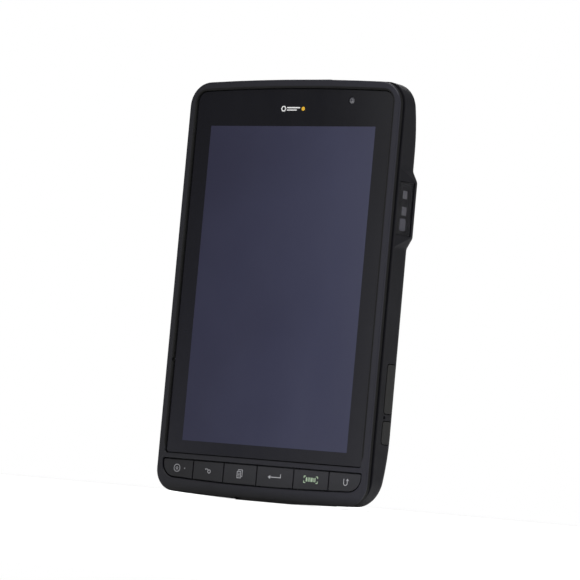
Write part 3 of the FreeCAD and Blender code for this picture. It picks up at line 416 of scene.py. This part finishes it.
def dress_all():
    """A material on every CAD node."""
    housing = moulded("housing_plastic", grey(0.0060, 1.4), 0.58, 0.42, 0.04, 0.16)
    side_keys = moulded("side_key_plastic", grey(0.0105, 1.2), 0.42, 0.16, 0.006, 0.26, 0.15)
    hard_black = moulded("connector_black", grey(0.006), 0.38, 0.2, 0.004, 0.3, 0.1)
    dress(bezel_plastic(), "front_bezel")
    dress(housing, "rear_housing", "battery_cover")
    dress(key_plastic(), *KEYS)
    dress(side_keys, "power_button", "volume_up_key", "volume_down_key")
    latch = moulded("latch_plastic", grey(0.013, 1.1), 0.45, 0.2, 0.01)
    dress(latch, "battery_latch_left", "battery_latch_right")
    dress(hard_black, "dock_surround", "dock_connector", "front_camera_module", "scan_engine_body",
          "rear_camera_module")
    dress(rubber("soft_rubber"), "perimeter_seal", "battery_seal", "window_seal", "long_port_flap",
          "short_port_flap")
    dress(rubber("silicone", 0.3), "keypad_mat")
    dress(cover_glass(), "cover_glass")
    dress(soft_plate("adhesive", grey(0.015)), "glass_adhesive", "optical_adhesive")
    dress(soft_plate("display", (0.02, 0.021, 0.04, 1.0), 0.3), "lcd_panel")
    dress(soft_plate("backlight", grey(0.7), 0.5), "backlight_unit")
    dress(metal("frame_metal", grey(0.4), 0.4), "mid_frame")
    front = camera_lens("front_lens", "front_camera_lens", (0.35, 0.55, 1.4), (0.03, 0.085, 0.06), 0.8)
    dress(front, "front_camera_lens")
    rear = camera_lens("rear_lens", "rear_camera_window", (2.0, 2.35, 4.6), (0.30, 0.002, 0.10), 0.22)
    dress(rear, "rear_camera_window")
    dress(circuit_board(), "keypad_board", "port_board", "side_key_board", "main_board")
    dress(ribbon(), "keypad_flex", "engine_flex", "display_flex", "antennas")
    dress(metal("screw_steel", grey(0.12), 0.35), "housing_screws", "speaker_grille")
    dress(wrapped_cells(), "battery_pack")
    dress(metal("contact_gold", (0.83, 0.57, 0.2, 1.0), 0.25), "battery_contacts", "dock_contacts")
    dress(scan_window(), "scan_window")
    dress(optic("optic_grey", grey(0.75, 1.12), 0.25), "scan_lamp", "scan_aimer")
    dress(optic("lens_grey", grey(0.62, 1.2), 0.2), "scan_lens")
    dress(metal("shield_tin", grey(0.6), 0.3), "engine_bracket", "shield_cans")
    steel = metal("socket_steel", grey(0.55), 0.25)
    dress(steel, "usb_socket", "card_socket", "power_switch", "vibration_motor")
    dress(optic("flash_diffuser", (0.8, 0.76, 0.55, 1.0), 0.3), "flash_lens", "flash_lamp")
    dress(moulded("speaker_black", grey(0.012), 0.6, 0.3, 0.02), "loudspeaker")


# ---- printed marks ------------------------------------------------------------------------------
def arc(centre, radius, start, end, steps):
    """Points along a circle, angles in degrees."""
    turns = [math.radians(start + (end - start) * step / steps) for step in range(steps + 1)]
    x, z = centre
    return [(x + radius * math.cos(turn), z + radius * math.sin(turn)) for turn in turns]


def stroke(points, width, closed=False):
    """Four-sided patches that make a line of even width along the points, with mitred turns."""
    spots = [Vector(point) for point in points]
    count = len(spots)
    sides = []
    for index, spot in enumerate(spots):
        headings = []
        if closed or index > 0:
            headings.append((spot - spots[index - 1]).normalized())
        if closed or index < count - 1:
            headings.append((spots[(index + 1) % count] - spot).normalized())
        along = (headings[0] + headings[-1]).normalized()
        across = Vector((-along.y, along.x))
        first = Vector((-headings[0].y, headings[0].x))
        reach = width / 2 / max(0.5, across.dot(first))
        sides.append((spot + across * reach, spot - across * reach))
    pairs = zip(sides, sides[1:] + sides[:1]) if closed else zip(sides, sides[1:])
    return [(a[0], b[0], b[1], a[1]) for a, b in pairs]


def ring(centre, radius, width, steps=28):
    """Line of that width round a circle, or round a polygon of few steps."""
    return stroke(arc(centre, radius, 0, 360, steps)[:-1], width, True)


def disc(centre, radius):
    """Filled circle."""
    return [tuple(Vector(point) for point in arc(centre, radius, 0, 360, 20)[:-1])]


def bar(x, z, width, height):
    """Filled rectangle about its middle."""
    half = width / 2
    rise = height / 2
    corners = ((-half, -rise), (half, -rise), (half, rise), (-half, rise))
    return [tuple(Vector((x + across, z + up)) for across, up in corners)]


def printed(name, body, material, patches, centre, face_y):
    """Thin closed layer of ink on a face, made of flat patches in millimetres about centre."""
    mesh = bmesh.new()
    made = {}
    for patch in patches:
        corners = []
        for spot in patch:
            key = (round(spot[0], 4), round(spot[1], 4))
            if key not in made:
                x = centre.x + key[0] * MM
                z = centre.z + key[1] * MM
                made[key] = mesh.verts.new((x, face_y + INK_SUNK, z))
            corners.append(made[key])
        mesh.faces.new(corners)
    bmesh.ops.recalc_face_normals(mesh, faces=mesh.faces)
    grown = bmesh.ops.extrude_face_region(mesh, geom=mesh.faces[:])
    moved = [item for item in grown["geom"] if isinstance(item, bmesh.types.BMVert)]
    bmesh.ops.translate(mesh, vec=(0, -INK_PROUD - INK_SUNK, 0), verts=moved)
    bmesh.ops.recalc_face_normals(mesh, faces=mesh.faces)
    data = bpy.data.meshes.new(name)
    mesh.to_mesh(data)
    mesh.free()
    data.materials.append(material)
    piece = bpy.data.objects.new(name, data)
    bpy.context.scene.collection.objects.link(piece)
    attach(piece, body)


def home_icon():
    """A house in a ring, and a dot beside it."""
    house = stroke([(-0.62, -0.02), (0.0, 0.58), (0.62, -0.02)], 0.2)
    house += stroke([(-0.36, -0.14), (-0.36, -0.62), (0.36, -0.62), (0.36, -0.14)], 0.18)
    return ring((0.0, 0.0), 1.72, 0.2) + house + disc((4.55, 0.05), 0.24)


def unlock_icon():
    """A key: bow at the lower right, shaft and one tooth towards the upper left."""
    shaft = stroke([(-1.75, 0.85), (-0.35, 0.85), (0.08, 0.3)], 0.24)
    return shaft + ring((0.62, -0.25), 0.76, 0.26) + bar(-1.4, 0.56, 0.24, 0.36)


def tasks_icon():
    """Two sheets, one behind the other, with three lines on the front one."""
    front = stroke([(-1.5, 1.1), (0.55, 1.1), (0.55, -1.9), (-1.5, -1.9)], 0.26, True)
    rear = stroke([(-0.85, 1.45), (-0.85, 1.9), (1.4, 1.9), (1.4, -1.15), (0.9, -1.15)], 0.26)
    lines = [patch for row in range(3) for patch in bar(-0.48, 0.25 - 0.65 * row, 1.1, 0.2)]
    return front + rear + lines


def enter_icon():
    """Return arrow."""
    shaft = stroke([(3.3, 1.35), (3.3, -0.25), (-2.6, -0.25)], 0.38)
    head = [(Vector((-3.9, -0.25)), Vector((-2.5, -1.15)), Vector((-2.5, 0.65)))]
    return shaft + head


def scan_icon():
    """Barcode between four corner marks."""
    patches = []
    for side in (-1, 1):
        for level in (-1, 1):
            corner = [(side * 2.9, level * 1.5), (side * 3.8, level * 1.5), (side * 3.8, level * 0.6)]
            patches += stroke(corner, 0.3)
    middles = (-2.4, -1.5, -0.85, 0.0, 0.7, 1.6, 2.4)
    widths = (0.55, 0.25, 0.4, 0.25, 0.6, 0.25, 0.4)
    for x, width in zip(middles, widths):
        patches += bar(x, 0.0, width, 1.9)
    return patches


def back_icon():
    """Arrow that hooks round and points up."""
    bend = arc((0.0, -0.5), 1.0, 180, 360, 12)[1:]
    hook = stroke([(-1.0, 1.45), (-1.0, -0.5)] + bend + [(1.0, 0.75)], 0.32)
    head = [(Vector((0.25, 0.65)), Vector((1.75, 0.65)), Vector((1.0, 1.65)))]
    return hook + head


def print_marks():
    """Key legends, and a neutral mark above the display."""
    pale = legend("legend_pale", grey(0.42, 1.06))
    green = legend("legend_green", (0.50, 0.66, 0.46, 1.0))
    white = legend("mark_white", grey(0.75))
    amber = legend("mark_amber", (0.72, 0.42, 0.03, 1.0))
    icons = (home_icon, unlock_icon, tasks_icon, enter_icon, scan_icon, back_icon)
    for key, icon in zip(KEYS, icons):
        low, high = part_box(key)
        ink = green if key == "key_scan" else pale
        middle = (low + high) / 2
        cap_middle = Vector((middle.x, 0.0, middle.z + 0.25 * MM))
        printed(icon.__name__, key, ink, icon(), cap_middle, low.y)
    glass_low, glass_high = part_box("cover_glass")
    screen_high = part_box("optical_adhesive")[1]
    across = (glass_low.x + glass_high.x) / 2
    up = (screen_high.z + glass_high.z) / 2 - 0.6 * MM
    spot = Vector((across, 0.0, up))
    badge = ring((-5.6, 0.0), 1.2, 0.5, 6) + bar(0.0, 0.5, 7.4, 0.62) + bar(-0.9, -0.62, 5.6, 0.5)
    printed("screen_mark", "body", white, badge, spot, glass_low.y)
    printed("screen_mark_dot", "body", amber, disc((5.6, 0.0), 0.95), spot, glass_low.y)


# ---- camera, floor and light --------------------------------------------------------------------
def add_camera():
    """Long lens to the object's right, just above the floor, tilted up and rolled a little."""
    data = bpy.data.cameras.new("camera")
    camera = bpy.data.objects.new("camera", data)
    bpy.context.scene.collection.objects.link(camera)
    data.sensor_width = 36.0
    data.lens = CAMERA_LENS
    data.clip_end = CAMERA_REACH
    yaw = Matrix.Rotation(math.radians(CAMERA_YAW), 4, "Z")
    tilt = Matrix.Rotation(math.radians(90.0) + math.radians(CAMERA_TILT), 4, "X")
    roll = Matrix.Rotation(math.radians(CAMERA_ROLL), 4, "Z")
    camera.matrix_world = Matrix.Translation(CAMERA_PLACE) @ (yaw @ tilt @ roll)
    bpy.context.scene.camera = camera


def add_floor():
    """Wide pale floor at the level that the object stands on."""
    mesh = bmesh.new()
    bmesh.ops.create_grid(mesh, x_segments=8, y_segments=8, size=FLOOR_HALF_SIZE)
    data = bpy.data.meshes.new("floor")
    mesh.to_mesh(data)
    mesh.free()
    surface = Surface("floor", Specular_IOR_Level=0.1)
    shade = surface.spread(surface.noise(400.0), 0.0, 1.0)
    tone = surface.blend(shade, grey(0.985), grey(0.99))
    data.materials.append(surface.finish(tone, 0.9))
    floor = bpy.data.objects.new("floor", data)
    bpy.context.scene.collection.objects.link(floor)


def hang(data, place):
    """Lamp at a place, aimed at the object's middle."""
    lamp = bpy.data.objects.new(data.name, data)
    bpy.context.scene.collection.objects.link(lamp)
    lamp.location = place
    lamp.rotation_mode = "QUATERNION"
    lamp.rotation_quaternion = (Vector(AIM) - Vector(place)).to_track_quat("-Z", "Y")
    return lamp


def add_panel(name, place, size, power):
    """Soft light panel that faces the object."""
    data = bpy.data.lights.new(name, "AREA")
    data.shape = "RECTANGLE"
    data.size, data.size_y = size
    data.energy = power
    hang(data, place).visible_camera = False


def add_surround():
    """White world, weaker on the object than it looks to the camera."""
    world = bpy.data.worlds.new("studio")
    bpy.context.scene.world = world
    world.use_nodes = True
    tree = world.node_tree
    background = tree.nodes["Background"]
    background.inputs["Color"].default_value = grey(1.0)
    seen = tree.nodes.new("ShaderNodeLightPath").outputs["Is Camera Ray"]
    strength = tree.nodes.new("ShaderNodeMapRange")
    tree.links.new(seen, strength.inputs["Value"])
    strength.inputs["To Min"].default_value = SURROUND_ON_OBJECT
    strength.inputs["To Max"].default_value = SURROUND_SEEN
    tree.links.new(strength.outputs[0], background.inputs["Strength"])


def add_lights():
    """White studio: a wide sun, five soft panels and the surround."""
    data = bpy.data.lights.new("top", "SUN")
    data.energy = SUN_POWER
    data.angle = math.radians(SUN_WIDTH)
    hang(data, SUN_PLACE)
    for name, place, size, power in PANELS:
        add_panel(name, place, size, power)
    add_surround()
    bpy.context.scene.view_settings.view_transform = "Standard"


add_camera()
dress_all()
print_marks()
add_floor()
add_lights()
